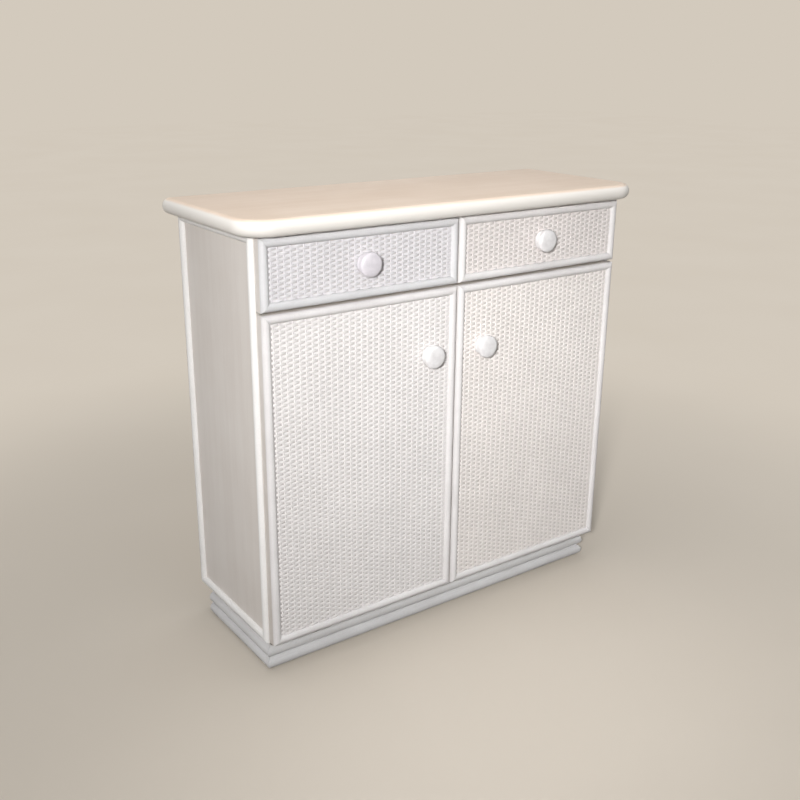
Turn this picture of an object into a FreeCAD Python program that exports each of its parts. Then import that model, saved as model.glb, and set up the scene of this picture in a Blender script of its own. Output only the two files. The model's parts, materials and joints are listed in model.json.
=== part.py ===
import FreeCAD, Part
import os
from FreeCAD import Vector

# A free-standing record cabinet in whitewashed cane work: two drawers over two doors.
# Millimetres. +X is to the right, -Y is the front, +Z is up. The origin lies on the floor,
# under the middle of the cabinet's width and of its depth.

# ---------------------------------------------------------------- driving dimensions
# Carcass
CABINET_WIDTH = 930.0         # over the side panels, and over the drawers and doors
SIDE_HEIGHT = 861.0
SIDE_DEPTH = 321.5
BOARD = 18.0                  # sides, dividers, deck, bottom, rails, plinth
BACK_PANEL = 4.0
REBATE = 9.0                  # width of the rebate that takes the back panel
FRONT_RAIL_WIDTH = 45.0
BACK_RAIL_HEIGHT = 60.0

# Top board
TOP_THICKNESS = 33.0
TOP_OVERHANG_SIDE = 41.5
TOP_OVERHANG_FRONT = 37.0     # past the front face of the doors
TOP_OVERHANG_BACK = 6.0
TOP_FRONT_CORNER = 65.0       # corner radii, seen from above
TOP_BACK_CORNER = 18.0

# Plinth and its two half-round bands
PLINTH_HEIGHT = 75.0
BAND_WIDTH = 28.0
BAND_RISE = 14.0
BAND_SETBACK = 26.0           # front face of the doors to the crest of the front bands
PLINTH_BACK_INSET = 27.0

# Doors and drawer fronts
FRONT_BOARD = 16.0
FRONT_GAP = 1.5               # back of a front to the carcass
MIDDLE_GAP = 4.0              # between the left and right fronts
DRAWER_DOOR_GAP = 5.5
TOP_GAP = 4.0                 # drawer front to the underside of the top
DOOR_ARM_GAP = 3.0            # the doors' lower edges to the lower arms, and upper to upper
DRAWER_FRONT_HEIGHT = 139.3
STRIP_WIDTH = 18.0            # half-round strips of the frames and of the side panels
STRIP_RISE = 9.0

# Woven panels
WEAVE_THICKNESS = 4.0         # where the strands ride over the stakes
WEAVE_VALLEY = 2.4            # between the stakes
STAKE_PITCH = 14.3
STAKE_WIDTH = 5.0
WEAVE_CLEARANCE = 0.2         # between the panel's edge and its frame

# Knobs, turned: a collar, a groove and a wide head
KNOB_HEAD_RADIUS = 25.0
KNOB_COLLAR_RADIUS = 21.5
KNOB_GROOVE_RADIUS = 18.5
KNOB_LENGTH = 26.5
KNOB_COLLAR_LENGTH = 9.0
KNOB_GROOVE_LENGTH = 2.5
KNOB_FROM_INNER_EDGE = 70.0   # door knobs
KNOB_BELOW_DOOR_TOP = 140.2

# Drawers
DRAWER_UNDER_RAIL = 14.75     # top of a drawer's box to the front rail
DRAWER_BACK_CLEARANCE = 3.0   # stop block to the back rail
DRAWER_SIDE = 12.0
DRAWER_SIDE_CLEARANCE = 3.0
DRAWER_ABOVE_DECK = 3.5
DRAWER_BOTTOM = 4.0
DRAWER_BOTTOM_LIFT = 8.0
DRAWER_BOTTOM_GROOVE = 5.0
RUNNER_HEIGHT = 12.0
RUNNER_GROOVE_DEPTH = 7.0
RUNNER_GROOVE_STOP = 15.0     # solid wood left at the front end of the groove
RUNNER_BACK_GAP = 5.0
STOP_BLOCK = (30.0, 12.0, 45.0)
STOP_BLOCK_ABOVE_BOX = 22.0

# Shelves
SHELF_THICKNESS = 18.0
SHELF_SETBACK = 25.0
SHELF_END_CLEARANCE = 0.5
BATTEN_THICKNESS = 12.0       # the battens that carry the shelves
BATTEN_HEIGHT = 18.0
BATTEN_SETBACK = 15.0         # behind the shelf's front edge

# Pivot hinges at the doors' outer edges
PIVOT_INSET = 4.5             # from the door's outer edge and from its back face
PIVOT_PIN_RADIUS = 2.0
PIVOT_PIN_DEPTH = 10.0        # in the door
PIVOT_EDGE_EASE = 1.2         # off the door's back edge, which turns close to the side panel
ARM_THICKNESS = 1.6
ARM_WIDTH = 13.0
ARM_EDGE_INSET = 0.5
ARM_PAST_PIVOT = 5.0
ARM_CORNER = 4.0
ARM_LEG = 40.0

# Magnet catches
CATCH_SIZE = (40.0, 15.5, 13.0)
CATCH_FROM_DIVIDER = 10.0
CATCH_CORNER = 3.0
STRIKER_SIZE = (36.0, 1.2, 12.0)

# Fits
RUNNING = 0.05                # a pin's clearance in its bore
CLEAR = 0.3                   # between pieces that move past each other

# ---------------------------------------------------------------- places worked out
X_OUT = CABINET_WIDTH / 2                     # outer face of a side panel
X_IN = X_OUT - BOARD                          # its inner face
X_DIVIDER = BOARD / 2
TOP_DEPTH = TOP_OVERHANG_FRONT + FRONT_BOARD + FRONT_GAP + SIDE_DEPTH + TOP_OVERHANG_BACK
Y_TOP_FRONT = -TOP_DEPTH / 2
Y_FACE = Y_TOP_FRONT + TOP_OVERHANG_FRONT     # front face of the door and drawer boards
Y_FRONT_BACK = Y_FACE + FRONT_BOARD           # their back face
Y_CARCASS = Y_FRONT_BACK + FRONT_GAP
Y_BACK = Y_CARCASS + SIDE_DEPTH
Y_PANEL = Y_BACK - BACK_PANEL                 # front face of the back panel
Z_CARCASS = PLINTH_HEIGHT
Z_TOP = Z_CARCASS + SIDE_HEIGHT               # underside of the top board
Z_FLOOR_BOARD = Z_CARCASS + BOARD             # upper face of the bottom board

Z_DRAWER_TOP = Z_TOP - TOP_GAP
Z_DRAWER_BOTTOM = Z_DRAWER_TOP - DRAWER_FRONT_HEIGHT
Z_DOOR_TOP = Z_DRAWER_BOTTOM - DRAWER_DOOR_GAP
Z_DOOR_BOTTOM = Z_CARCASS + DOOR_ARM_GAP
Z_DECK = (Z_DRAWER_BOTTOM + Z_DOOR_TOP - BOARD) / 2
Z_DECK_TOP = Z_DECK + BOARD
FRONT_WIDTH = (CABINET_WIDTH - MIDDLE_GAP) / 2
X_FRONT_MIDDLE = -(X_OUT + MIDDLE_GAP / 2) / 2   # middle of a left front

PLINTH_X = X_OUT - BAND_RISE                  # the bands' crests are flush with the side panels
PLINTH_Y = Y_FACE + BAND_SETBACK + BAND_RISE
PLINTH_BACK = Y_BACK - PLINTH_BACK_INSET

Z_SHELF = (Z_FLOOR_BOARD + Z_DECK - SHELF_THICKNESS) / 2
Y_SHELF = Y_CARCASS + SHELF_SETBACK
Z_RAIL = Z_TOP - BOARD
Y_RAIL_BACK = Y_CARCASS + FRONT_RAIL_WIDTH

PIVOT_X = -(X_OUT - PIVOT_INSET)              # left door
PIVOT_Y = Y_FRONT_BACK - PIVOT_INSET
Y_WEAVE = Y_FACE - WEAVE_THICKNESS            # crest of the woven panels, where a knob sits

Z_BOX = Z_DECK_TOP + DRAWER_ABOVE_DECK        # underside of a drawer's sides
Z_BOX_TOP = Z_RAIL - DRAWER_UNDER_RAIL
Z_BOX_FLOOR = Z_BOX + DRAWER_BOTTOM_LIFT + DRAWER_BOTTOM
Y_BOX_BACK = Y_PANEL - BOARD - DRAWER_BACK_CLEARANCE - STOP_BLOCK[1]
X_BOX_LEFT = -X_IN + DRAWER_SIDE_CLEARANCE
X_BOX_RIGHT = -X_DIVIDER - DRAWER_SIDE_CLEARANCE
Z_RUNNER = (Z_BOX + Z_BOX_TOP) / 2

X, Y, Z = Vector(1, 0, 0), Vector(0, 1, 0), Vector(0, 0, 1)


# ---------------------------------------------------------------- helpers
def block(x0, x1, y0, y1, z0, z1):
    return Part.makeBox(x1 - x0, y1 - y0, z1 - z0, Vector(x0, y0, z0))


def rod(start, axis, radius, length):
    return Part.makeCylinder(radius, length, start, axis)


def placed(shape, origin, along, across):
    """Put a shape drawn on local axes at origin, with local X along and local Y across."""
    out = along.cross(across)
    turn = FreeCAD.Matrix(along.x, across.x, out.x, origin.x,
                          along.y, across.y, out.y, origin.y,
                          along.z, across.z, out.z, origin.z, 0, 0, 0, 1)
    moved = shape.copy()
    moved.Placement = FreeCAD.Placement(turn)
    return moved


def mirrored(shape):
    return shape.mirror(Vector(0, 0, 0), X)


def prism(points, direction):
    return Part.Face(Part.makePolygon(points + [points[0]])).extrude(direction)


def turned(corners, origin, axis, across):
    """Revolve an outline of (radius, height) corners and stand it at origin."""
    points = [Vector(radius, 0, height) for radius, height in corners]
    solid = Part.Face(Part.makePolygon(points + [points[0]])).revolve(Vector(0, 0, 0), Z, 360)
    return placed(solid, origin, across, axis.cross(across))


def half_round(length, width, rise):
    """A half-round strip along local X, flat side down, its edges at Y = 0 and Y = width."""
    crest = Part.Arc(Vector(0, 0, 0), Vector(0, width / 2, rise), Vector(0, width, 0)).toShape()
    flat = Part.makeLine(Vector(0, width, 0), Vector(0, 0, 0))
    return Part.Face(Part.Wire([crest, flat])).extrude(Vector(length, 0, 0))


def frame_strip(length):
    """A half-round strip whose ends are mitred towards the inside of a frame."""
    outline = [Vector(0, 0, 0), Vector(length, 0, 0),
               Vector(length - STRIP_WIDTH, STRIP_WIDTH, 0), Vector(STRIP_WIDTH, STRIP_WIDTH, 0)]
    return half_round(length, STRIP_WIDTH, STRIP_RISE).common(prism(outline, Z * STRIP_WIDTH))


def mitred_frame(corner, right, up, width, height):
    """Four strips round a rectangle; corner is its lower left, seen from outside."""
    far = corner + right * width + up * height
    wide, tall = frame_strip(width), frame_strip(height)
    return Part.makeCompound([placed(wide, corner, right, up),
                              placed(tall, corner + right * width, up, -right),
                              placed(wide, far, -right, -up),
                              placed(tall, corner + up * height, -up, right)])


# ---------------------------------------------------------------- carcass
def side_panel():
    """Left side panel, with a rebate for the back panel and a housing for the upper arm's leg."""
    panel = block(-X_OUT, -X_IN, Y_CARCASS, Y_BACK, Z_CARCASS, Z_TOP)
    panel = panel.cut(block(-X_OUT + REBATE, -X_IN, Y_PANEL, Y_BACK, Z_CARCASS, Z_TOP))
    return panel.cut(arm_leg())


def top_rail_back():
    """The back rail stands on edge."""
    return block(-X_IN, X_IN, Y_PANEL - BOARD, Y_PANEL, Z_TOP - BACK_RAIL_HEIGHT, Z_TOP)


def top_rail_front():
    return block(-X_IN, X_IN, Y_CARCASS, Y_RAIL_BACK, Z_RAIL, Z_TOP)


def drawer_divider():
    """The short upright between the drawers, notched round both top rails."""
    board = block(-X_DIVIDER, X_DIVIDER, Y_CARCASS, Y_PANEL, Z_DECK_TOP, Z_TOP)
    return board.cut(top_rail_front()).cut(top_rail_back())


def rounded_plan(inset):
    """The top board's outline seen from above, set in from its edge, on the underside."""
    x = X_OUT + TOP_OVERHANG_SIDE - inset
    y0, y1 = Y_TOP_FRONT + inset, Y_TOP_FRONT + TOP_DEPTH - inset
    front, back = TOP_FRONT_CORNER - inset, TOP_BACK_CORNER - inset
    corners = [(x - front, y0 + front, front, 0), (x - back, y1 - back, back, 90),
               (back - x, y1 - back, back, 180), (front - x, y0 + front, front, 270)]
    arcs = [Part.makeCircle(r, Vector(cx, cy, Z_TOP), Z, turn - 90, turn) for cx, cy, r, turn in corners]
    ends = [(arc.valueAt(arc.FirstParameter), arc.valueAt(arc.LastParameter)) for arc in arcs]
    sides = [Part.makeLine(ends[i][1], ends[(i + 1) % 4][0]) for i in range(4)]
    return Part.Wire([edge for pair in zip(arcs, sides) for edge in pair])


def top_board():
    """A rounded rectangle whose edge is a full half-round, swept round the outline."""
    nose = TOP_THICKNESS / 2
    path = rounded_plan(nose)
    slab = Part.Face(path).extrude(Z * TOP_THICKNESS)
    start = Vector(0, Y_TOP_FRONT + nose, Z_TOP)
    half_circle = Part.Arc(start, start + Vector(0, -nose, nose), start + Z * TOP_THICKNESS).toShape()
    closing = Part.makeLine(start + Z * TOP_THICKNESS, start)
    edge = path.makePipeShell([Part.Wire([half_circle, closing])], True, False)
    return slab.fuse(edge).removeSplitter()


def side_trim():
    """Four mitred half-round strips on the outer face of the left side panel."""
    return mitred_frame(Vector(-X_OUT, Y_BACK, Z_CARCASS), -Y, Z, SIDE_DEPTH, SIDE_HEIGHT)


def shelf():
    inner = X_DIVIDER + SHELF_END_CLEARANCE
    return block(-X_IN + SHELF_END_CLEARANCE, -inner, Y_SHELF, Y_PANEL,
                 Z_SHELF, Z_SHELF + SHELF_THICKNESS)


def shelf_battens():
    """Battens under the shelves' ends, their front ends cut back at 45 degrees."""
    front, high = Y_SHELF + BATTEN_SETBACK, BATTEN_HEIGHT

    def batten(x):
        side = [Vector(x, front, Z_SHELF), Vector(x, Y_PANEL, Z_SHELF), Vector(x, Y_PANEL, Z_SHELF - high),
                Vector(x, front + high, Z_SHELF - high)]
        return prism(side, X * BATTEN_THICKNESS)
    return both_sides([batten(-X_IN), batten(-X_DIVIDER - BATTEN_THICKNESS)])


def both_sides(solids):
    return Part.makeCompound(solids + [mirrored(solid) for solid in solids])


# ---------------------------------------------------------------- plinth
def plinth_side():
    return block(-PLINTH_X, -PLINTH_X + BOARD, PLINTH_Y + BOARD, PLINTH_BACK - BOARD, 0, PLINTH_HEIGHT)


def plinth_band(z):
    """One half-round band round the plinth's front and sides, mitred at the front corners."""
    x, y, rise = PLINTH_X, PLINTH_Y, BAND_RISE
    bar = half_round(2 * (x + rise), BAND_WIDTH, rise)
    front = placed(bar, Vector(-x - rise, y, z), X, Z)
    front_plan = [Vector(-x, y, z), Vector(-x - rise, y - rise, z),
                  Vector(x + rise, y - rise, z), Vector(x, y, z)]
    side = placed(half_round(PLINTH_BACK - y + rise, BAND_WIDTH, rise), Vector(-x, PLINTH_BACK, z), -Y, Z)
    side_plan = [Vector(-x, y, z), Vector(-x, PLINTH_BACK, z),
                 Vector(-x - rise, PLINTH_BACK, z), Vector(-x - rise, y - rise, z)]
    left = side.common(prism(side_plan, Z * BAND_WIDTH))
    return Part.makeCompound([front.common(prism(front_plan, Z * BAND_WIDTH)), left, mirrored(left)])


# ---------------------------------------------------------------- fronts
def woven_panel(z0, z1):
    """The woven panel of a left front: a sheet raised over each upright stake."""
    x0 = -X_OUT + STRIP_WIDTH + WEAVE_CLEARANCE
    x1 = -MIDDLE_GAP / 2 - STRIP_WIDTH - WEAVE_CLEARANCE
    bottom = z0 + STRIP_WIDTH + WEAVE_CLEARANCE
    height = z1 - z0 - 2 * (STRIP_WIDTH + WEAVE_CLEARANCE)
    stakes = round((x1 - x0) / STAKE_PITCH)
    pitch = (x1 - x0) / stakes
    section = [(x0, Y_FACE)]
    for i in range(stakes):
        middle = x0 + (i + 0.5) * pitch
        section += [(x0 + i * pitch, Y_FACE - WEAVE_VALLEY), (middle - STAKE_WIDTH / 2, Y_WEAVE),
                    (middle + STAKE_WIDTH / 2, Y_WEAVE)]
    section += [(x1, Y_FACE - WEAVE_VALLEY), (x1, Y_FACE)]
    return prism([Vector(x, y, bottom) for x, y in section], Z * height)


def front_frame(z0, z1):
    return mitred_frame(Vector(-X_OUT, Y_FACE, z0), X, Z, FRONT_WIDTH, z1 - z0)


def knob(x, z):
    """A turned knob: a collar on the weave, a groove, and a wide head."""
    collar, groove, head = KNOB_COLLAR_RADIUS, KNOB_GROOVE_RADIUS, KNOB_HEAD_RADIUS
    neck = KNOB_COLLAR_LENGTH + KNOB_GROOVE_LENGTH
    outline = [(0, 0), (collar, 0), (collar, KNOB_COLLAR_LENGTH), (groove, KNOB_COLLAR_LENGTH),
               (groove, neck), (head, neck), (head, KNOB_LENGTH), (0, KNOB_LENGTH)]
    return turned(outline, Vector(x, Y_WEAVE, z), -Y, X)


# ---------------------------------------------------------------- drawers (left one)
def drawer_bottom():
    groove = DRAWER_BOTTOM_GROOVE
    return block(X_BOX_LEFT + DRAWER_SIDE - groove, X_BOX_RIGHT - DRAWER_SIDE + groove,
                 Y_FRONT_BACK - groove, Y_BOX_BACK, Z_BOX_FLOOR - DRAWER_BOTTOM, Z_BOX_FLOOR)


def drawer_front():
    """The front board, grooved for the front edge of the drawer's bottom."""
    board = block(-X_OUT, -X_OUT + FRONT_WIDTH, Y_FACE, Y_FRONT_BACK, Z_DRAWER_BOTTOM, Z_DRAWER_TOP)
    return board.cut(drawer_bottom())


def drawer_sides():
    """Each side has a groove for the bottom inside and a stopped groove for its runner outside."""
    half_groove = RUNNER_HEIGHT / 2 + CLEAR
    sides = []
    for outside, inward in ((X_BOX_LEFT, 1), (X_BOX_RIGHT, -1)):
        inside, groove_end = outside + inward * DRAWER_SIDE, outside + inward * RUNNER_GROOVE_DEPTH
        side = block(min(outside, inside), max(outside, inside), Y_FRONT_BACK, Y_BOX_BACK, Z_BOX, Z_BOX_TOP)
        groove = block(min(outside, groove_end), max(outside, groove_end),
                       Y_FRONT_BACK + RUNNER_GROOVE_STOP, Y_BOX_BACK,
                       Z_RUNNER - half_groove, Z_RUNNER + half_groove)
        sides.append(side.cut(groove).cut(drawer_bottom()))
    return Part.makeCompound(sides)


def drawer_back():
    """The back stands on the bottom panel, between the sides."""
    return block(X_BOX_LEFT + DRAWER_SIDE, X_BOX_RIGHT - DRAWER_SIDE,
                 Y_BOX_BACK - DRAWER_SIDE, Y_BOX_BACK, Z_BOX_FLOOR, Z_BOX_TOP)


def drawer_stop():
    """A block behind the drawer's back that meets the front rail when the drawer is out."""
    width, thick, height = STOP_BLOCK
    middle = (X_BOX_LEFT + X_BOX_RIGHT) / 2
    top = Z_BOX_TOP + STOP_BLOCK_ABOVE_BOX
    return block(middle - width / 2, middle + width / 2, Y_BOX_BACK, Y_BOX_BACK + thick, top - height, top)


def drawer_runners():
    """Hardwood strips on the side panels and on the drawer divider, one in each drawer groove."""
    y0, y1 = Y_FRONT_BACK + RUNNER_GROOVE_STOP + CLEAR, Y_PANEL - RUNNER_BACK_GAP
    low, high = Z_RUNNER - RUNNER_HEIGHT / 2, Z_RUNNER + RUNNER_HEIGHT / 2
    reach = DRAWER_SIDE_CLEARANCE + RUNNER_GROOVE_DEPTH - CLEAR
    outer = block(-X_IN, -X_IN + reach, y0, y1, low, high)
    inner = block(-X_DIVIDER - reach, -X_DIVIDER, y0, y1, low, high)
    return both_sides([outer, inner])


# ---------------------------------------------------------------- doors (left one)
def door_board():
    """The door's board, bored for a pivot pin at both ends of its outer edge."""
    board = block(-X_OUT, -X_OUT + FRONT_WIDTH, Y_FACE, Y_FRONT_BACK, Z_DOOR_BOTTOM, Z_DOOR_TOP)
    turning = [e for e in board.Edges if e.BoundBox.ZLength > 100
               and (e.CenterOfMass - Vector(-X_OUT, Y_FRONT_BACK, e.CenterOfMass.z)).Length < 0.1]
    board = board.makeChamfer(PIVOT_EDGE_EASE, turning)
    bores = [rod(point, axis, PIVOT_PIN_RADIUS + RUNNING, PIVOT_PIN_DEPTH + RUNNING)
             for point, axis in pivot_places()]
    return board.cut(Part.makeCompound(bores))


def pivot_places():
    """Where the pivot axis enters the door's top and bottom edge, and the way in."""
    return [(Vector(PIVOT_X, PIVOT_Y, Z_DOOR_TOP), -Z), (Vector(PIVOT_X, PIVOT_Y, Z_DOOR_BOTTOM), Z)]


def pivot_pins():
    """Studs welded to the arms, turning in the doors' edges."""
    return both_sides([rod(point - axis * DOOR_ARM_GAP, axis, PIVOT_PIN_RADIUS,
                           DOOR_ARM_GAP + PIVOT_PIN_DEPTH) for point, axis in pivot_places()])


def arm_plate(z, back):
    """A flat steel plate with its front corners cut off, level, from past the pivot to back."""
    x0 = -X_OUT + ARM_EDGE_INSET
    plate = block(x0, x0 + ARM_WIDTH, PIVOT_Y - ARM_PAST_PIVOT, back, z, z + ARM_THICKNESS)
    corners = [e for e in plate.Edges if e.BoundBox.ZLength > 1 and abs(e.CenterOfMass.y - back) > 1]
    return plate.makeChamfer(ARM_CORNER, corners)


def arm_leg():
    """The upper arm's leg, let in flush with the side panel's front edge."""
    x0, z0 = -X_OUT + ARM_EDGE_INSET, Z_DOOR_TOP + DOOR_ARM_GAP
    return block(x0, x0 + ARM_WIDTH, Y_CARCASS, Y_CARCASS + ARM_THICKNESS, z0, z0 + ARM_LEG)


def pivot_arms():
    """Upper arm: bent up in the side panel's front edge. Lower arm: flat under the panel."""
    upper_z, lower_z = Z_DOOR_TOP + DOOR_ARM_GAP, Z_CARCASS - ARM_THICKNESS
    upper = arm_plate(upper_z, Y_CARCASS + ARM_THICKNESS).fuse(arm_leg()).removeSplitter()
    return both_sides([upper, arm_plate(lower_z, Y_CARCASS + ARM_LEG)])


def magnet_catch():
    """A catch under the deck; its face stands just clear of the door's striker."""
    wide, deep, high = CATCH_SIZE
    x1 = -X_DIVIDER - CATCH_FROM_DIVIDER
    front = Y_FRONT_BACK + STRIKER_SIZE[1] + CLEAR
    body = block(x1 - wide, x1, front, front + deep, Z_DECK - high, Z_DECK)
    ends = [e for e in body.Edges if e.BoundBox.ZLength > 1 and e.CenterOfMass.y > front + 1]
    return body.makeChamfer(CATCH_CORNER, ends)


def striker():
    wide, thick, high = STRIKER_SIZE
    middle = -X_DIVIDER - CATCH_FROM_DIVIDER - CATCH_SIZE[0] / 2
    z = Z_DECK - CATCH_SIZE[2] / 2
    return block(middle - wide / 2, middle + wide / 2, Y_FRONT_BACK, Y_FRONT_BACK + thick,
                 z - high / 2, z + high / 2)


# ---------------------------------------------------------------- all the pieces
def root_parts():
    x, back = X_IN, Y_PANEL
    left, trim, low_side = side_panel(), side_trim(), plinth_side()
    return {
        "top_board": top_board(),
        "side_panel_left": left,
        "side_panel_right": mirrored(left),
        "bottom_board": block(-x, x, Y_CARCASS, back, Z_CARCASS, Z_FLOOR_BOARD),
        "centre_divider": block(-X_DIVIDER, X_DIVIDER, Y_CARCASS, back, Z_FLOOR_BOARD, Z_DECK),
        "drawer_divider": drawer_divider(),
        "drawer_deck": block(-x, x, Y_CARCASS, back, Z_DECK, Z_DECK_TOP),
        "top_rail_front": top_rail_front(),
        "top_rail_back": top_rail_back(),
        "back_panel": block(-X_OUT + REBATE, X_OUT - REBATE, back, Y_BACK, Z_CARCASS, Z_TOP),
        "side_trim_left": trim,
        "side_trim_right": mirrored(trim),
        "plinth_front": block(-PLINTH_X, PLINTH_X, PLINTH_Y, PLINTH_Y + BOARD, 0, PLINTH_HEIGHT),
        "plinth_back": block(-PLINTH_X, PLINTH_X, PLINTH_BACK - BOARD, PLINTH_BACK, 0, PLINTH_HEIGHT),
        "plinth_side_left": low_side,
        "plinth_side_right": mirrored(low_side),
        "plinth_band_lower": plinth_band(0),
        "plinth_band_upper": plinth_band(BAND_WIDTH),
        "shelf_left": shelf(),
        "shelf_right": mirrored(shelf()),
        "shelf_battens": shelf_battens(),
        "drawer_runners": drawer_runners(),
        "pivot_arms": pivot_arms(),
        "pivot_pins": pivot_pins(),
        "magnet_catches": both_sides([magnet_catch()]),
    }


def left_drawer_parts():
    x, z = X_FRONT_MIDDLE, (Z_DRAWER_BOTTOM + Z_DRAWER_TOP) / 2
    return {
        "front": drawer_front(),
        "frame": front_frame(Z_DRAWER_BOTTOM, Z_DRAWER_TOP),
        "weave": woven_panel(Z_DRAWER_BOTTOM, Z_DRAWER_TOP),
        "sides": drawer_sides(),
        "back": drawer_back(),
        "bottom": drawer_bottom(),
        "stop": drawer_stop(),
        "knob": knob(x, z),
    }


def left_door_parts():
    x, z = -MIDDLE_GAP / 2 - KNOB_FROM_INNER_EDGE, Z_DOOR_TOP - KNOB_BELOW_DOOR_TOP
    return {
        "board": door_board(),
        "frame": front_frame(Z_DOOR_BOTTOM, Z_DOOR_TOP),
        "weave": woven_panel(Z_DOOR_BOTTOM, Z_DOOR_TOP),
        "knob": knob(x, z),
        "striker": striker(),
    }


parts = root_parts()
for body, pieces in (("drawer", left_drawer_parts()), ("door", left_door_parts())):
    for name, shape in pieces.items():
        parts[f"{body}_left_{name}"] = shape
        parts[f"{body}_right_{name}"] = mirrored(shape)

os.makedirs("parts", exist_ok=True)
for name, shape in parts.items():
    shape.exportStep(f"parts/{name}.step")
print(len(parts), "parts")
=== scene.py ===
import json
from math import cos, pi, radians, sin

import bmesh
import bpy
from mathutils import Matrix, Vector

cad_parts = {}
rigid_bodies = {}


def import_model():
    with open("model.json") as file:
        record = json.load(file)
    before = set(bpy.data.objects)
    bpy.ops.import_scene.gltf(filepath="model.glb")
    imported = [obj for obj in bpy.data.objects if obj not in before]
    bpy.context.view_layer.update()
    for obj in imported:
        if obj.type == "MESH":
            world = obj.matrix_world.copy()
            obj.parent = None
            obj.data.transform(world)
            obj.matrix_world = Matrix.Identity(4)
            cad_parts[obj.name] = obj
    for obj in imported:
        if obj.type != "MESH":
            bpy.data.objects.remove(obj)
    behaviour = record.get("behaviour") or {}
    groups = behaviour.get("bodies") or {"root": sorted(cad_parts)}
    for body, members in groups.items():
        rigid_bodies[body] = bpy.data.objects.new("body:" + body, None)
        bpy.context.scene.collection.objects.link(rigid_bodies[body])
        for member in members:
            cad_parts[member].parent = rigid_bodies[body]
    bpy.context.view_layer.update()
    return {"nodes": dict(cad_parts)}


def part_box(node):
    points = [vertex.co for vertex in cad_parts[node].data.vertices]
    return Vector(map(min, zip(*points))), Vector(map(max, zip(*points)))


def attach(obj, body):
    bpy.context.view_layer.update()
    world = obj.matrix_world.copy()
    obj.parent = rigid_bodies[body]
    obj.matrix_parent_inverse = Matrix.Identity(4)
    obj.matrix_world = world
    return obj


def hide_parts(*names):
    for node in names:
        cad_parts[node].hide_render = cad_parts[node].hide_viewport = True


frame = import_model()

# ------------------------------------------------------------------ carcass boards
# The bottom, deck, dividers, rails and shelves are boards with a pale wood face, thinly washed
# and sealed, glued and dowelled face to face. The shelves lie on plain wooden battens.


class Value:
    """A socket of a node, so that shading reads as sums and products."""

    def __init__(self, shading, socket):
        self.shading, self.socket = shading, socket

    def math(self, operation, first, second=0.0):
        return self.shading.node("Math", {"operation": operation}, {0: first, 1: second})

    def __add__(self, other):
        return self.math("ADD", self, other)

    def __sub__(self, other):
        return self.math("SUBTRACT", self, other)

    def __mul__(self, other):
        return self.math("MULTIPLY", self, other)

    def __rsub__(self, other):
        return self.math("SUBTRACT", other, self)

    def __pow__(self, other):
        return self.math("POWER", self, other)

    __radd__, __rmul__ = __add__, __mul__

    def floor(self):
        return self.math("FLOOR", self)

    def smallest(self, other):
        return self.math("MINIMUM", self, other)

    def largest(self, other):
        return self.math("MAXIMUM", self, other)

    def ramp(self, low, high):
        """0 below low, 1 above high, smooth between them."""
        limits = {"Value": self, "From Min": low, "From Max": high}
        return self.shading.node("MapRange", {"interpolation_type": "SMOOTHSTEP"}, limits)


class Shading:
    """The nodes of a material or of the sky."""

    def __init__(self, tree):
        self.tree = tree

    def node(self, kind, settings, inputs, output=0):
        made = self.tree.nodes.new("ShaderNode" + kind)
        for name, value in settings.items():
            setattr(made, name, value)
        for name, value in inputs.items():
            if isinstance(value, Value):
                self.tree.links.new(value.socket, made.inputs[name])
            else:
                made.inputs[name].default_value = value
        return Value(self, made.outputs[output])

    def blend(self, first, second, share):
        """From the first colour to the second, by a share from 0 to 1."""
        colours = {6: (*first, 1) if isinstance(first, tuple) else first,
                   7: (*second, 1) if isinstance(second, tuple) else second}
        return self.node("Mix", {"data_type": "RGBA"}, {0: share, **colours}, 2)


class Finish(Shading):
    """A material under construction: nodes go in by node(), and coat() ends it."""

    def __init__(self, name, constants):
        self.material = bpy.data.materials.new(name)
        self.material.use_nodes = True
        super().__init__(self.material.node_tree)
        self.shader = self.tree.nodes["Principled BSDF"]
        for socket, value in constants.items():
            self.shader.inputs[socket].default_value = value

    def place(self):
        return self.node("TexCoord", {}, {}, "Object")

    def axes(self):
        parts = self.node("SeparateXYZ", {}, {"Vector": self.place()})
        return [Value(self, socket) for socket in parts.socket.node.outputs]

    def noise(self, scale, detail=2.0, stretch=(1, 1, 1), shift=(0, 0, 0)):
        """Soft noise over the piece, stretched where the stretch is below 1."""
        moved = {"Vector": self.place(), "Scale": stretch, "Location": shift}
        where = self.node("Mapping", {}, moved)
        return self.node("TexNoise", {}, {"Vector": where, "Scale": scale, "Detail": detail,
                                          "Roughness": 0.55})

    def coat(self, colour, roughness, height=None, depth=0.0):
        """Ends the finish: its colour, its roughness and the relief of its surface in metres."""
        for name, value in (("Base Color", colour), ("Roughness", roughness)):
            self.tree.links.new(value.socket, self.shader.inputs[name])
        if height is not None:
            bump = self.node("Bump", {}, {"Height": height, "Distance": depth, "Strength": 1.0})
            self.tree.links.new(bump.socket, self.shader.inputs["Normal"])
        return self


def screen(red, green, blue):
    """A colour given as it shows on a screen, from 0 to 255."""
    return tuple((c / 255 / 12.92) if c < 10.3 else ((c / 255 + 0.055) / 1.055) ** 2.4
                 for c in (red, green, blue))


ACROSS, FORE_AND_AFT, UPRIGHT = 0, 1, 2          # which way the grain runs


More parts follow.
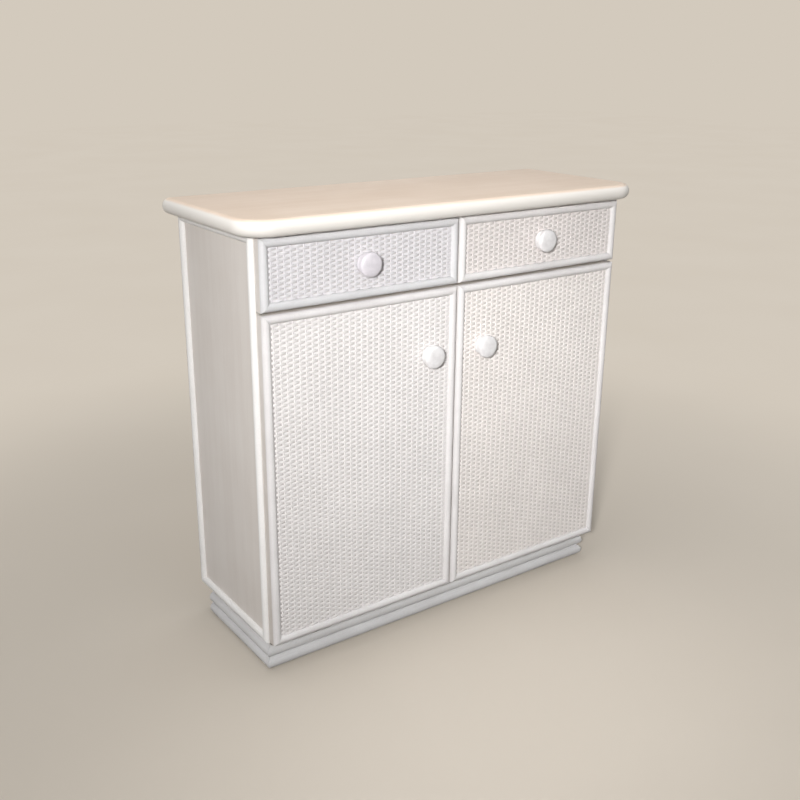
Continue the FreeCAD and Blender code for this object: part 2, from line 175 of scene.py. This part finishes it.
def washed_wood(name, wood, lime, along, shift=0.0, lime_share=0.6, rough=0.42, edge=None):
    """Wood under a thin white wash, from bare wood to full lime, with its grain along an axis.
    A painted highlight along an edge is given as its colour and the heights between which it ends."""
    finish = Finish(name, {"Specular IOR Level": 0.35})
    stretch = [1.0, 1.0, 1.0]
    stretch[along] = 0.045
    move = (shift, shift * 1.7, shift * 0.6)
    cloud = finish.noise(5.0, 3.0, shift=move)
    bands = finish.noise(42.0, 4.0, stretch, move)
    fibres = finish.noise(420.0, 3.0, stretch, move)
    stretch[along] = 0.02
    pores = finish.noise(900.0, 1.0, stretch, move).ramp(0.60, 0.72)
    grain = bands.ramp(0.36, 0.66) * 0.6 + fibres.ramp(0.3, 0.7) * 0.4
    share = (grain * lime_share + cloud.ramp(0.3, 0.7) * (1 - lime_share)) * 0.85 + pores * 0.15
    colour = finish.blend(wood, lime, share)
    # An edge's painted highlight: its colour below the heights given, fading into the wood above.
    if edge:
        colour = finish.blend(edge[0], colour, finish.axes()[2].ramp(*edge[1:]))
    roughness = fibres * 0.10 + cloud * 0.06 + rough
    return finish.coat(colour, roughness, fibres * 0.5 - pores, 0.00006)


def paint(finish, *nodes):
    """Puts a finish on CAD nodes or on pieces made here."""
    for node in nodes:
        piece = frame["nodes"][node] if isinstance(node, str) else node
        piece.data.materials.clear()
        piece.data.materials.append(finish.material)


INSIDE, INSIDE_WASH = screen(205, 188, 166), screen(226, 217, 204)
inside_across = washed_wood("inside board, grain across", INSIDE, INSIDE_WASH, ACROSS)
inside_upright = washed_wood("inside board, grain upright", INSIDE, INSIDE_WASH, UPRIGHT, 3.1)
batten_wood = washed_wood("batten wood, grain fore and aft", screen(206, 184, 152),
                          screen(222, 208, 186), FORE_AND_AFT, 5.7)
paint(inside_across, "bottom_board", "drawer_deck", "top_rail_front", "top_rail_back",
      "shelf_left", "shelf_right")
paint(inside_upright, "centre_divider", "drawer_divider")
paint(batten_wood, "shelf_battens")

# ------------------------------------------------------------------ side panels
# Veneered boards with upright grain, pickled to a grey beige under satin lacquer. Each stands
# on the plinth and is framed by four strips of half-round cane.

side_wood = washed_wood("side veneer, upright grain", screen(222, 214, 207),
                        screen(233, 227, 221), UPRIGHT, 7.3, lime_share=0.5, rough=0.36)
paint(side_wood, "side_panel_left", "side_panel_right")

# ------------------------------------------------------------------ back panel
# Thin plywood in a rebate of the side panels, left unwashed, held by small flat nails along
# its edges, along the deck and along the divider.

NAIL_RADIUS, NAIL_PROUD = 0.0016, 0.0003
NAIL_INSET, NAIL_STEP = 0.005, 0.12      # from the panel's edge, and from row to row
NAIL_COLUMNS, NAIL_ROWS = 9, 6           # along a level row, and between the top and the bottom
HEAD_DOME = [(0.45, 1.0), (0.35, 0.9), (0.2, 0.72)]  # rises, and each ring's share of the last


def add(kind, name, **place):
    """Adds a primitive that is alone selected, with its place in its mesh."""
    bpy.ops.object.select_all(action="DESELECT")
    getattr(bpy.ops.mesh, f"primitive_{kind}_add")(**place)
    piece = bpy.context.object
    piece.name = piece.data.name = name
    bpy.ops.object.transform_apply(location=True, rotation=True, scale=True)
    return piece


def smoothed(piece, crease):
    """Ends the work in edit mode: faces point outwards, and join smoothly up to an angle."""
    bpy.ops.mesh.select_all(action="SELECT")
    bpy.ops.mesh.normals_make_consistent(inside=False)
    bpy.ops.object.mode_set(mode="OBJECT")
    bpy.ops.object.shade_smooth_by_angle(angle=radians(crease))
    return piece


def twin_of(piece, name, way):
    """A copy of a piece with its own mesh, moved in the mesh."""
    twin = piece.copy()
    twin.data = piece.data.copy()
    twin.name = twin.data.name = name
    bpy.context.collection.objects.link(twin)
    twin.data.transform(Matrix.Translation(way))
    return twin


def join(pieces):
    """Joins pieces into the first of them."""
    bpy.ops.object.select_all(action="DESELECT")
    for piece in pieces:
        piece.select_set(True)
    bpy.context.view_layer.objects.active = pieces[0]
    bpy.ops.object.join()
    return pieces[0]


def heads(name, places, out, radius, proud, shape):
    """Round heads of one shape, at their places and facing one way, joined into one piece."""
    out = Vector(out)
    turn = out.to_track_quat("Z", "Y").to_euler()
    head = add("circle", name, vertices=12, radius=radius, fill_type="NGON", location=places[0],
               rotation=turn)
    bpy.ops.object.mode_set(mode="EDIT")
    bpy.ops.mesh.select_all(action="SELECT")
    middle = Vector(places[0])
    for rise, share in shape:
        middle = middle + out * proud * rise
        bpy.ops.mesh.extrude_region_move(TRANSFORM_OT_translate={"value": out * proud * rise})
        bpy.ops.transform.resize(value=(share, share, share), center_override=middle)
    smoothed(head, 35)
    return join([head] + [twin_of(head, name, Vector(place) - Vector(places[0]))
                          for place in places[1:]])


def done(piece, body, finish, replaced=None):
    """What every finished piece gets: its body and finish; the node it stands for is hidden."""
    paint(finish, piece)
    if replaced:
        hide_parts(replaced)
    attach(piece, body)


plywood = washed_wood("back plywood", screen(170, 138, 100), screen(196, 168, 130), UPRIGHT,
                      11.0, lime_share=0.7, rough=0.55)
paint(plywood, "back_panel")

low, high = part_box("back_panel")
deck_low, deck_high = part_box("drawer_deck")
level_rows = [low.z + NAIL_INSET, high.z - NAIL_INSET, (deck_low.z + deck_high.z) / 2]
column_step = (high.x - low.x - 2 * NAIL_INSET) / (NAIL_COLUMNS - 1)
columns = [low.x + NAIL_INSET + i * column_step for i in range(NAIL_COLUMNS)]
nail_places = [(x, high.y, z) for z in level_rows for x in columns]
nail_places += [(x, high.y, low.z + NAIL_STEP * row) for row in range(1, NAIL_ROWS + 1)
                for x in (columns[0], 0.0, columns[-1])]
nails = heads("back_nails", nail_places, (0, 1, 0), NAIL_RADIUS, NAIL_PROUD, HEAD_DOME)

steel = Finish("zinc-plated steel", {"Metallic": 1.0})
scratches = steel.noise(900.0, 2.0, (1, 1, 0.1))
steel.coat(steel.blend(screen(168, 166, 160), screen(205, 204, 200), scratches),
           0.28 + scratches * 0.2, scratches, 0.00002)
done(nails, "root", steel)

# ------------------------------------------------------------------ plinth and its bands
# Plain boards butted round a rectangle, faced at the front and sides with two half-round
# bands of split cane, one above the other, mitred at the front corners and painted.

CANE_SIDES = 40                   # faces round a whole cane, of which half is kept
HAIRLINE = 0.00012                # half the open joint of a mitre


def empty_piece(name):
    """A piece with nothing in it, left in edit mode."""
    piece = add("plane", name, size=0.01)
    bpy.ops.object.mode_set(mode="EDIT")
    bpy.ops.mesh.delete(type="VERT")
    return piece


def half_round(start, end, out, width, mitres):
    """In edit mode, lays a strip of split cane with the middle of its flat back from start to
    end. A mitre is a place on its plane and the way from there into the strip."""
    along = (end - start).normalized()
    turn = Matrix((out.cross(along), out, along)).transposed().to_euler()
    bpy.ops.mesh.select_all(action="DESELECT")
    bpy.ops.mesh.primitive_cylinder_add(vertices=CANE_SIDES, radius=width / 2, rotation=turn,
                                        depth=(end - start).length, location=(start + end) / 2)
    cuts = [((start + end) / 2, out)]
    cuts += [(place + way.normalized() * HAIRLINE, way.normalized()) for place, way in mitres]
    for place, way in cuts:
        bpy.ops.mesh.select_linked(delimit=set())    # a cut leaves only its own edge selected
        bpy.ops.mesh.bisect(plane_co=place, plane_no=way, use_fill=True, clear_inner=True,
                            threshold=1e-6)


def painted_cane(name, worn, fresh):
    """White paint on split cane: fine grain shows through, and the hollows stay greyer."""
    finish = Finish(name, {"Specular IOR Level": 0.5})
    cloud = finish.noise(9.0, 3.0)
    flecks = [finish.noise(700.0, 2.0, stretch) for stretch in ((0.05, 1, 1), (1, 1, 0.05))]
    fleck = flecks[0].smallest(flecks[1])
    colour = finish.blend(worn, fresh, cloud.ramp(0.25, 0.75) * 0.5 + fleck.ramp(0.25, 0.55) * 0.5)
    rough = 0.30 + cloud * 0.10 + fleck * 0.06
    return finish.coat(colour, rough, fleck + cloud * 0.5, 0.00005)


PLINTH, PLINTH_WASH = screen(198, 190, 180), screen(220, 214, 207)
plinth_across = washed_wood("plinth boards", PLINTH, PLINTH_WASH, ACROSS, 2.2)
plinth_aside = washed_wood("plinth sides", PLINTH, PLINTH_WASH, FORE_AND_AFT, 4.2)
paint(plinth_across, "plinth_front", "plinth_back")
paint(plinth_aside, "plinth_side_left", "plinth_side_right")

cane_white = painted_cane("white cane", screen(208, 206, 206), screen(225, 224, 224))
board_low, board_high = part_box("plinth_front")
for name in ("plinth_band_lower", "plinth_band_upper"):
    low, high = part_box(name)
    band, z = high.z - low.z, (low.z + high.z) / 2
    left, right = (Vector((x, board_low.y, z)) for x in (board_low.x, board_high.x))
    over, ahead = Vector((band / 2, 0, 0)), Vector((0, -band / 2, 0))
    piece = empty_piece(name + "_cane")
    half_round(left - over, right + over, Vector((0, -1, 0)), band,
               [(left, ahead + over), (right, ahead - over)])
    for corner, out in ((left, -over), (right, over)):
        half_round(corner + ahead, Vector((corner.x, high.y, z)), out.normalized(), band,
                   [(corner, out - ahead)])
    done(smoothed(piece, 35), "root", cane_white, name)

# ------------------------------------------------------------------ side trims
# Four strips of split cane, glued to each side panel along its edges and mitred at the corners.
# They are painted a shade whiter than the fronts' frames.

trim_white = painted_cane("side trims' cane", screen(232, 229, 226), screen(245, 243, 241))


def mitred_frame(name, corners, out, width):
    """Four strips round a rectangle, whose outer edges run from corner to corner."""
    piece = empty_piece(name)
    for i in range(4):
        start, end, after = (Vector(corners[(i + step) % 4]) for step in range(3))
        along, inward = (end - start).normalized(), (after - end).normalized()
        half_round(start + inward * width / 2, end + inward * width / 2, Vector(out), width,
                   [(start, along - inward), (end, -along - inward)])
    return smoothed(piece, 35)


for side, sense in (("left", -1), ("right", 1)):
    low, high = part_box(f"side_trim_{side}")
    x = low.x if sense > 0 else high.x
    corners = [(x, high.y, low.z), (x, low.y, low.z), (x, low.y, high.z), (x, high.y, high.z)]
    trim = mitred_frame(f"side_trim_{side}_cane", corners, (sense, 0, 0), 2 * (high.x - low.x))
    done(trim, "root", trim_white, f"side_trim_{side}")

# ------------------------------------------------------------------ top board
# A thick board with wide round corners in front, small ones behind, and a full bullnose all
# round. It is pickled warmer than the sides, with its grain from side to side.

FRONT_CORNER, BACK_CORNER, NOSE_SHARE = 0.065, 0.018, 0.496
NEAR = 0.001                      # how near an edge lies to the corner it belongs to
NOSE_ENDS = 0.006, 0.0015         # below the top, where the bullnose's painted highlight fades out

low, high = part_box("top_board")
size = high - low


def pick_edges(piece, test):
    """In edit mode, selects the edges that pass a test, and nothing else."""
    bpy.ops.mesh.select_mode(type="EDGE")
    bpy.ops.mesh.select_all(action="DESELECT")
    mesh = bmesh.from_edit_mesh(piece.data)
    for edge in mesh.edges:
        if test(edge):
            edge.select_set(True)
    mesh.select_flush_mode()
    bmesh.update_edit_mesh(piece.data)


def is_upright(edge):
    return abs(edge.verts[0].co.z - edge.verts[1].co.z) > size.z / 2


def is_corner(edge, behind):
    place = edge.verts[0].co
    return is_upright(edge) and (place.y > 0) == behind \
        and abs(place.x) > size.x / 2 - NEAR and abs(place.y) > size.y / 2 - NEAR


top = add("cube", "top", size=1, location=(low + high) / 2, scale=size)
bpy.ops.object.mode_set(mode="EDIT")
for radius, segments, behind in ((FRONT_CORNER, 18, False), (BACK_CORNER, 10, True)):
    pick_edges(top, lambda edge: is_corner(edge, behind))
    bpy.ops.mesh.bevel(offset=radius, segments=segments, affect="EDGES", clamp_overlap=False)
pick_edges(top, lambda edge: not is_upright(edge))
bpy.ops.mesh.bevel(offset=size.z * NOSE_SHARE, segments=12, affect="EDGES", clamp_overlap=False)
# The bullnose is painted paler than the top: a painted highlight for the light along its front.
nose = (screen(242, 237, 230), *(high.z - depth for depth in NOSE_ENDS))
top_wood = washed_wood("top board, grain across", screen(234, 212, 191), screen(245, 226, 208),
                       ACROSS, 9.4, lime_share=0.5, rough=0.34, edge=nose)
done(smoothed(top, 35), "root", top_wood, "top_board")

# ------------------------------------------------------------------ front boards and their frames
# Each drawer and door is a 16 mm board. Four strips of split cane, mitred at the corners, are
# glued round its face and hide the cut ends of the woven panel.

front_wood = washed_wood("front boards", screen(206, 198, 191), screen(228, 223, 218), UPRIGHT,
                         13.0)
frame_white = painted_cane("frames' cane", screen(217, 213, 212), screen(236, 233, 232))
# The left drawer's frame is a greyer copy of the frames' cane: painted shade.
frame_grey = painted_cane("left drawer's cane in painted shade", screen(206, 205, 206), screen(222, 221, 222))
boards = {f"{kind}_{side}": f"{kind}_{side}_{board}" for kind, board in
          (("drawer", "front"), ("door", "board")) for side in ("left", "right")}
for name, board in boards.items():
    paint(front_wood, board)
    low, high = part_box(name + "_frame")
    y, width = high.y, 2 * (high.y - low.y)
    corners = [(low.x, y, low.z), (high.x, y, low.z), (high.x, y, high.z), (low.x, y, high.z)]
    strips = mitred_frame(name + "_frame_cane", corners, (0, -1, 0), width)
    done(strips, name, frame_grey if name == "drawer_left" else frame_white,
         name + "_frame")

# ------------------------------------------------------------------ woven panels
# Plain weave: upright stakes 14 mm apart, and level strands of thin cane that pass in front of
# every second stake and behind the next. It is woven flat, glued to the board and painted.

STRAND_STEP = 0.00527             # from one strand to the next
STRAND_HEIGHT, STRAND_THICK = 0.0053, 0.0011
STRAND_SWELL = 0.10               # a strand is this share taller in front, and lower behind
STAKE_STEP, STAKE_WIDTH, STAKE_THICK = 0.01422, 0.0030, 0.0026
FIRST_STAKE = 0.37                # the first stake's place, as a share of the step
SWING = 0.00133                   # how far a strand swings forward and back from the middle
WEAVE_BACK = 0.0021               # from the board to the middle of the weave
ROUND = 0.25                      # share of a pitch over which a strand bends round a stake
TURN = 0.72                       # the swing where that bend ends
SLANT = 0.00045                   # a float lies this much lower on its left, higher on its right
DEEP, FORWARD = 0.0009, 0.0041    # from the board to where the painted shade is darkest, and to where it has faded out
HOLLOW_WEAR, FLOAT_WEAR = 14, 12  # how much darker the worn paint is
WEAVE_TONES = {                   # the paint with painted shade where the cane lies deep, and where it stands forward
    # The left drawer's weave is painted greyer than the others: painted shade.
    "drawer_left": ((223, 219, 221), (233, 230, 232)),
    "drawer_right": ((231, 224, 221), (244, 237, 234)),
    "door_left": ((236, 231, 230), (249, 245, 243)),
    "door_right": ((238, 231, 227), (252, 246, 242))}


def strand(start, course):
    """In edit mode, draws one flat six-sided cane from a start along a course. Each step of it
    is a place across the panel, and the shares of the swing and of the slant it has there."""
    bpy.ops.mesh.select_all(action="DESELECT")
    bpy.ops.mesh.primitive_circle_add(vertices=6, radius=0.5, fill_type="NGON",
                                      location=start, rotation=(0, pi / 2, 0))
    bpy.ops.transform.rotate(value=pi / 6, orient_axis="X", center_override=start)
    girth = STRAND_HEIGHT * (1 + STRAND_SWELL * course[0][1])
    bpy.ops.transform.resize(value=(1, STRAND_THICK / cos(pi / 6), girth), center_override=start)
    for (here, swing, lift), (there, bend, climb) in zip(course, course[1:]):
        step = Vector((there - here, SWING * (swing - bend), SLANT * (climb - lift)))
        start = start + step
        bpy.ops.mesh.extrude_region_move(TRANSFORM_OT_translate={"value": step})
        grow = (1 + STRAND_SWELL * bend) / (1 + STRAND_SWELL * swing)
        bpy.ops.transform.resize(value=(1, 1, grow), center_override=start)


def woven(name, low, high, rows):
    """A woven panel that fills the box from low to high with the given number of strands."""
    stakes = round((high.x - low.x) / STAKE_STEP)
    pitch, step = (high.x - low.x) / stakes, (high.z - low.z) / rows
    middle = high.y - WEAVE_BACK
    weave = empty_piece(name)
    for row in (0, 1):
        course = [(low.x, 0.0, 0.0)]
        for stake in range(stakes):
            side = 1 if (stake + row) % 2 else -1
            centre = low.x + (stake + FIRST_STAKE) * pitch
            course += [(centre + share * pitch, side * bend, side * lift)
                       for share, bend, lift in ((-ROUND, TURN, -1), (0, 1, 0), (ROUND, TURN, 1))]
        course.append((high.x, 0.0, 0.0))
        strand(Vector((low.x, middle, low.z + step * (row + 0.5))), course)
    bpy.ops.object.mode_set(mode="OBJECT")
    array = weave.modifiers.new("rows", "ARRAY")
    array.use_relative_offset, array.use_constant_offset = False, True
    array.constant_offset_displace, array.count = (0, 0, 2 * step), rows // 2
    bpy.ops.object.modifier_apply(modifier="rows")
    stake = add("cylinder", name + "_stake", vertices=8, radius=0.5, depth=high.z - low.z,
                location=(low.x + FIRST_STAKE * pitch, middle, (low.z + high.z) / 2),
                scale=(STAKE_WIDTH, STAKE_THICK, 1))
    join([weave, stake] + [twin_of(stake, stake.name, Vector((i * pitch, 0, 0)))
                           for i in range(1, stakes)])
    bpy.ops.object.mode_set(mode="EDIT")
    return smoothed(weave, 50)


def woven_cane(name, low, high, rows, hollow, bright):
    """Painted cane, each float a little different, with painted shade where it lies deep."""
    finish = Finish(name, {"Specular IOR Level": 0.45})
    x, y, z = finish.axes()
    stakes = round((high.x - low.x) / STAKE_STEP)
    column = ((x - low.x) * (stakes / (high.x - low.x)) + (0.5 - FIRST_STAKE)).floor()
    row = ((z - low.z) * (rows / (high.z - low.z))).floor()
    cell = finish.node("CombineXYZ", {}, {0: column, 1: row, 2: 0.0})
    each = finish.node("TexWhiteNoise", {"noise_dimensions": "3D"}, {"Vector": cell})
    cloud = finish.noise(7.0, 3.0)
    fibre = finish.noise(900.0, 2.0, (0.06, 1, 1))
    worn = each * 0.35 + cloud.ramp(0.3, 0.7) * 0.35 + fibre * 0.3
    pale = finish.blend(screen(*[c - FLOAT_WEAR for c in bright]), screen(*bright), worn)
    # Painted shade: the cane is painted greyer the deeper it lies among the strands.
    deep = finish.blend(screen(*[c - HOLLOW_WEAR for c in hollow]), screen(*hollow), worn)
    colour = finish.blend(deep, pale, (high.y - y).ramp(DEEP, FORWARD))
    return finish.coat(colour, 0.40 + fibre * 0.14 + each * 0.08, fibre + each * 0.4, 0.00005)


for kind in ("drawer", "door"):
    low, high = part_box(f"{kind}_left_weave")
    rows = 2 * round((high.z - low.z) / STRAND_STEP / 2)
    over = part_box(f"{kind}_right_weave")[0] - low
    panel = woven(f"{kind}_left_woven_cane", low, high, rows)
    twin = twin_of(panel, f"{kind}_right_woven_cane", over)
    for side, piece, way in (("left", panel, Vector()), ("right", twin, over)):
        name = f"{kind}_{side}"
        finish = woven_cane(name + " woven cane", low + way, high + way, rows, *WEAVE_TONES[name])
        done(piece, name, finish, name + "_weave")

# ------------------------------------------------------------------ knobs
# Turned wood, painted white: a rounded collar stands on the weave, and a wide head with a soft
# rim and a barely domed face follows after a narrow groove.

KNOB_FOOT, KNOB_SIDES = 19.5, 56  # the foot's radius in millimetres, and the faces round it
HEAD_BACK = 0.0125                # from the weave to the middle of the head's back
GROOVE, COLLAR = 0.0184, 0.0200   # radii between which the groove's painted shade ends
KNOB_PROFILE = [                  # radius and distance from the weave, in millimetres
    (20.4, 0.5), (21.2, 1.8), (21.5, 3.8), (21.3, 5.8), (20.7, 7.4), (19.7, 8.5), (18.7, 8.9),
    (18.5, 9.3), (18.5, 10.9), (19.2, 11.4), (21.4, 11.6), (23.2, 12.1), (24.4, 13.2),
    (24.9, 14.8), (25.0, 17.0), (24.9, 19.6), (24.6, 21.3), (23.9, 22.8), (22.6, 24.0),
    (20.6, 24.9), (17.5, 25.6), (14.0, 26.0), (9.0, 26.35), (4.0, 26.5)]


def turned_knob(name, foot):
    """Draws a knob out of a disc on the weave, ring by ring, as it leaves the lathe."""
    piece = add("circle", name, vertices=KNOB_SIDES, radius=KNOB_FOOT / 1000, fill_type="NGON",
                location=foot, rotation=(pi / 2, 0, 0))
    bpy.ops.object.mode_set(mode="EDIT")
    bpy.ops.mesh.select_all(action="SELECT")
    before, depth = KNOB_FOOT, 0.0
    for radius, height in KNOB_PROFILE:
        bpy.ops.mesh.extrude_region_move(
            TRANSFORM_OT_translate={"value": (0, (depth - height) / 1000, 0)})
        bpy.ops.transform.resize(value=(radius / before, 1, radius / before),
                                 center_override=(foot.x, 0, foot.z))
        before, depth = radius, height
    return smoothed(piece, 50)


def knob_paint(name, foot, worn, fresh):
    """White satin paint, rubbed a little on the head, with painted shade down in the groove."""
    finish = Finish(name, {"Specular IOR Level": 0.5})
    x, y, z = finish.axes()
    away = ((x - foot.x) ** 2.0 + (z - foot.z) ** 2.0) ** 0.5
    cloud = finish.noise(60.0, 3.0)
    white = finish.blend(worn, fresh, cloud.ramp(0.3, 0.7))
    head = ((foot.y - HEAD_BACK) - y).ramp(0.0, 0.002)
    share = away.ramp(GROOVE, COLLAR).largest(head)
    # Painted shade: grey in the groove between the collar and the head.
    return finish.coat(finish.blend(screen(168, 161, 155), white, share), 0.26 + cloud * 0.12,
                       cloud, 0.00008)


KNOB_WHITE = screen(224, 221, 221), screen(239, 237, 237)
# The left drawer's knob is a greyer copy of the white paint: painted shade.
KNOB_GREY = screen(212, 207, 212), screen(226, 221, 226)
feet = {}
for name in boards:
    low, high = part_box(name + "_knob")
    feet[name] = Vector(((low.x + high.x) / 2, high.y, (low.z + high.z) / 2))
knobs = {"drawer_left": turned_knob("drawer_left_turned_knob", feet["drawer_left"])}
for name in list(feet)[1:]:
    knobs[name] = twin_of(knobs["drawer_left"], name + "_turned_knob",
                          feet[name] - feet["drawer_left"])
for name, knob in knobs.items():
    shades = KNOB_GREY if name == "drawer_left" else KNOB_WHITE
    finish = knob_paint(name + " knob paint", feet[name], *shades)
    done(knob, name, finish, name + "_knob")

# ------------------------------------------------------------------ drawer boxes and runners
# Plain pale hardwood: the sides are grooved for the plywood bottom and for the runners, and a
# block behind the back meets the front rail when a drawer is right out.

HARDWOOD, HARDWOOD_PALE = screen(196, 160, 118), screen(216, 188, 150)
drawer_wood = washed_wood("drawer hardwood, grain fore and aft", HARDWOOD, HARDWOOD_PALE,
                          FORE_AND_AFT, 15.0)
drawer_wood_across = washed_wood("drawer hardwood, grain across", HARDWOOD, HARDWOOD_PALE,
                                 ACROSS, 16.0)
drawer_ply = washed_wood("drawer plywood", screen(190, 158, 118), screen(212, 184, 146),
                         ACROSS, 17.0)
paint(drawer_wood, "drawer_runners")
for side in ("left", "right"):
    paint(drawer_wood, f"drawer_{side}_sides")
    paint(drawer_wood_across, f"drawer_{side}_back", f"drawer_{side}_stop")
    paint(drawer_ply, f"drawer_{side}_bottom")

# ------------------------------------------------------------------ hinges and catches
# Flat steel arms screwed to the front edge of each side panel and under it, with a stud that
# turns in the door's edge. Brown plastic magnet catches hang under the deck, and a steel plate
# on the door's back meets each.

paint(steel, "pivot_arms", "pivot_pins", "door_left_striker", "door_right_striker")
catch_plastic = Finish("brown moulded plastic", {})
speckle = catch_plastic.noise(300.0, 2.0)
catch_plastic.coat(catch_plastic.blend(screen(84, 60, 42), screen(106, 78, 56), speckle),
                   0.45 + speckle * 0.15, speckle, 0.00005)
paint(catch_plastic, "magnet_catches")

# ------------------------------------------------------------------ screws
# Zinc-plated screws with round heads hold the arms, catches, strikers and battens, and one
# comes through each drawer front or door into its knob. Those of the strikers lie flush.

ARM_X = 0.458                     # the middle of the arms, to either side
UPPER_ARM_Z, LOWER_ARM_Y = (0.806, 0.822), (-0.120, -0.104)
CATCH_X = (-0.052, -0.026, 0.026, 0.052)
BATTEN_THICK, BATTEN_Y = 0.012, (-0.06, 0.04, 0.14)
STRIKER_INSET = 0.006             # from a striker's end to its screw
DRIVER_HOLE = [(0, 0.6), (-0.8, 0.7)]  # sunk into the head's dome

arm_face, arm_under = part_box("side_panel_left")[0].y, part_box("pivot_arms")[0].z
catch_low, catch_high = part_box("magnet_catches")
batten_low, batten_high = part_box("shelf_battens")
batten_z = (batten_low.z + batten_high.z) / 2
outer_batten = batten_high.x - BATTEN_THICK
inner_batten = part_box("centre_divider")[1].x + BATTEN_THICK
screws = [                        # name, body, way they face, radius, how proud, places
    ("upper_arm_screws", "root", (0, -1, 0), 0.0028, 0.0008,
     [(x, arm_face, z) for x in (-ARM_X, ARM_X) for z in UPPER_ARM_Z]),
    ("lower_arm_screws", "root", (0, 0, -1), 0.0032, 0.0012,
     [(x, y, arm_under) for x in (-ARM_X, ARM_X) for y in LOWER_ARM_Y]),
    ("catch_screws", "root", (0, 0, -1), 0.0020, 0.0008,
     [(x, (catch_low.y + catch_high.y) / 2, catch_low.z) for x in CATCH_X])]
for sense, way in ((-1, "left"), (1, "right")):
    screws.append((f"batten_screws_facing_{way}", "root", (sense, 0, 0), 0.0034, 0.0011,
                   [(x, y, batten_z) for x in (sense * inner_batten, -sense * outer_batten)
                    for y in BATTEN_Y]))
for name, board in boards.items():
    place = (feet[name].x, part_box(board)[1].y, feet[name].z)
    screws.append((name + "_knob_screw", name, (0, 1, 0), 0.0042, 0.0014, [place]))
    if "door" in name:
        low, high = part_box(name + "_striker")
        ends = low.x + STRIKER_INSET, high.x - STRIKER_INSET
        screws.append((name + "_striker_screws", name, (0, 1, 0), 0.0020, 0.00015,
                       [(x, high.y, (low.z + high.z) / 2) for x in ends]))
for name, body, out, radius, proud, places in screws:
    screw = heads(name, places, out, radius, proud, HEAD_DOME + DRIVER_HOLE)
    done(screw, body, steel)

# ------------------------------------------------------------------ room, light and camera
# One wide pale floor that fades evenly into the distance. It throws back less light than it
# shows, so that the cabinet's own colours stay as they are.

FLOOR_SEEN = screen(216, 206, 192), screen(221, 212, 199)
FLOOR_THROWN = screen(100, 93, 85)
NEAR_FLOOR, FAR_FLOOR = 0.5, 2.1  # how far out the floor begins to even out, and is even

floor = add("plane", "floor", size=30)
floor_paint = Finish("floor paint", {})
cloud = floor_paint.noise(1.2, 2.0)
seen = floor_paint.node("LightPath", {}, {}, "Is Camera Ray")
seen = seen.largest(floor_paint.node("LightPath", {}, {}, "Is Glossy Ray"))
pale = floor_paint.blend(*FLOOR_SEEN, cloud)
x, y, z = floor_paint.axes()
far = ((x * x + y * y) ** 0.5).ramp(NEAR_FLOOR, FAR_FLOOR)
floor_paint.coat(floor_paint.blend(FLOOR_THROWN, pale, seen), 0.75 + cloud * 0.1)
lit = Value(floor_paint, floor_paint.shader.outputs[0])
glow = floor_paint.node("Emission", {}, {"Color": pale, "Strength": 0.92})
surface = floor_paint.node("MixShader", {}, {0: far * seen, 1: lit, 2: glow})
floor_paint.tree.links.new(surface.socket,
                           floor_paint.tree.nodes["Material Output"].inputs["Surface"])
paint(floor_paint, floor)


def lamp(name, place, target, size, power, spread=180):
    """A square lamp that the camera doesn't see: its place, aim, size, watts and spread."""
    light = bpy.data.lights.new(name, "AREA")
    light.shape, light.size, light.energy, light.spread = "SQUARE", size, power, radians(spread)
    holder = bpy.data.objects.new(name, light)
    bpy.context.collection.objects.link(holder)
    holder.location = place
    holder.visible_camera = False
    holder.rotation_euler = (Vector(target) - Vector(place)).to_track_quat("-Z", "Y").to_euler()


lamp("key", (-1.85, -2.05, 1.52), (0.26, -0.15, 0.62), 0.22, 9.2, 60)
lamp("overhead", (0, 0, 3.0), (0, 0, 0), 2.0, 24)
lamp("left", (-2.8, 0, 1.4), (0, 0, 0.5), 2.0, 6)

SKY_THROWN, SKY_SEEN = (0.33, 0.33, 0.33), screen(211, 202, 189)
sky = bpy.data.worlds.new("sky")
bpy.context.scene.world = sky
sky.use_nodes = True
air = Shading(sky.node_tree)
shade = air.blend(SKY_THROWN, SKY_SEEN, air.node("LightPath", {}, {}, "Is Camera Ray"))
air.tree.links.new(shade.socket, air.tree.nodes["Background"].inputs["Color"])

CAMERA_PLACE = (-1.301907, -1.772319, 1.259674)
turn, rise, tilt = -0.620612, 0.338325, 0.008377  # radians round from the front, up, and roll
back = Vector((sin(turn) * cos(rise), -cos(turn) * cos(rise), sin(rise)))
right = (-back).cross(Vector((0, 0, 1))).normalized()
up = right.cross(-back)
across, upright = right * cos(tilt) + up * sin(tilt), up * cos(tilt) - right * sin(tilt)
lens = bpy.data.cameras.new("camera")
lens.lens, lens.sensor_width = 45.0338, 36.0
camera = bpy.data.objects.new("camera", lens)
bpy.context.collection.objects.link(camera)
camera.matrix_world = Matrix.Translation(CAMERA_PLACE) @ \
    Matrix((across, upright, back)).transposed().to_4x4()
bpy.context.scene.camera = camera
bpy.context.scene.view_settings.view_transform = "Standard"
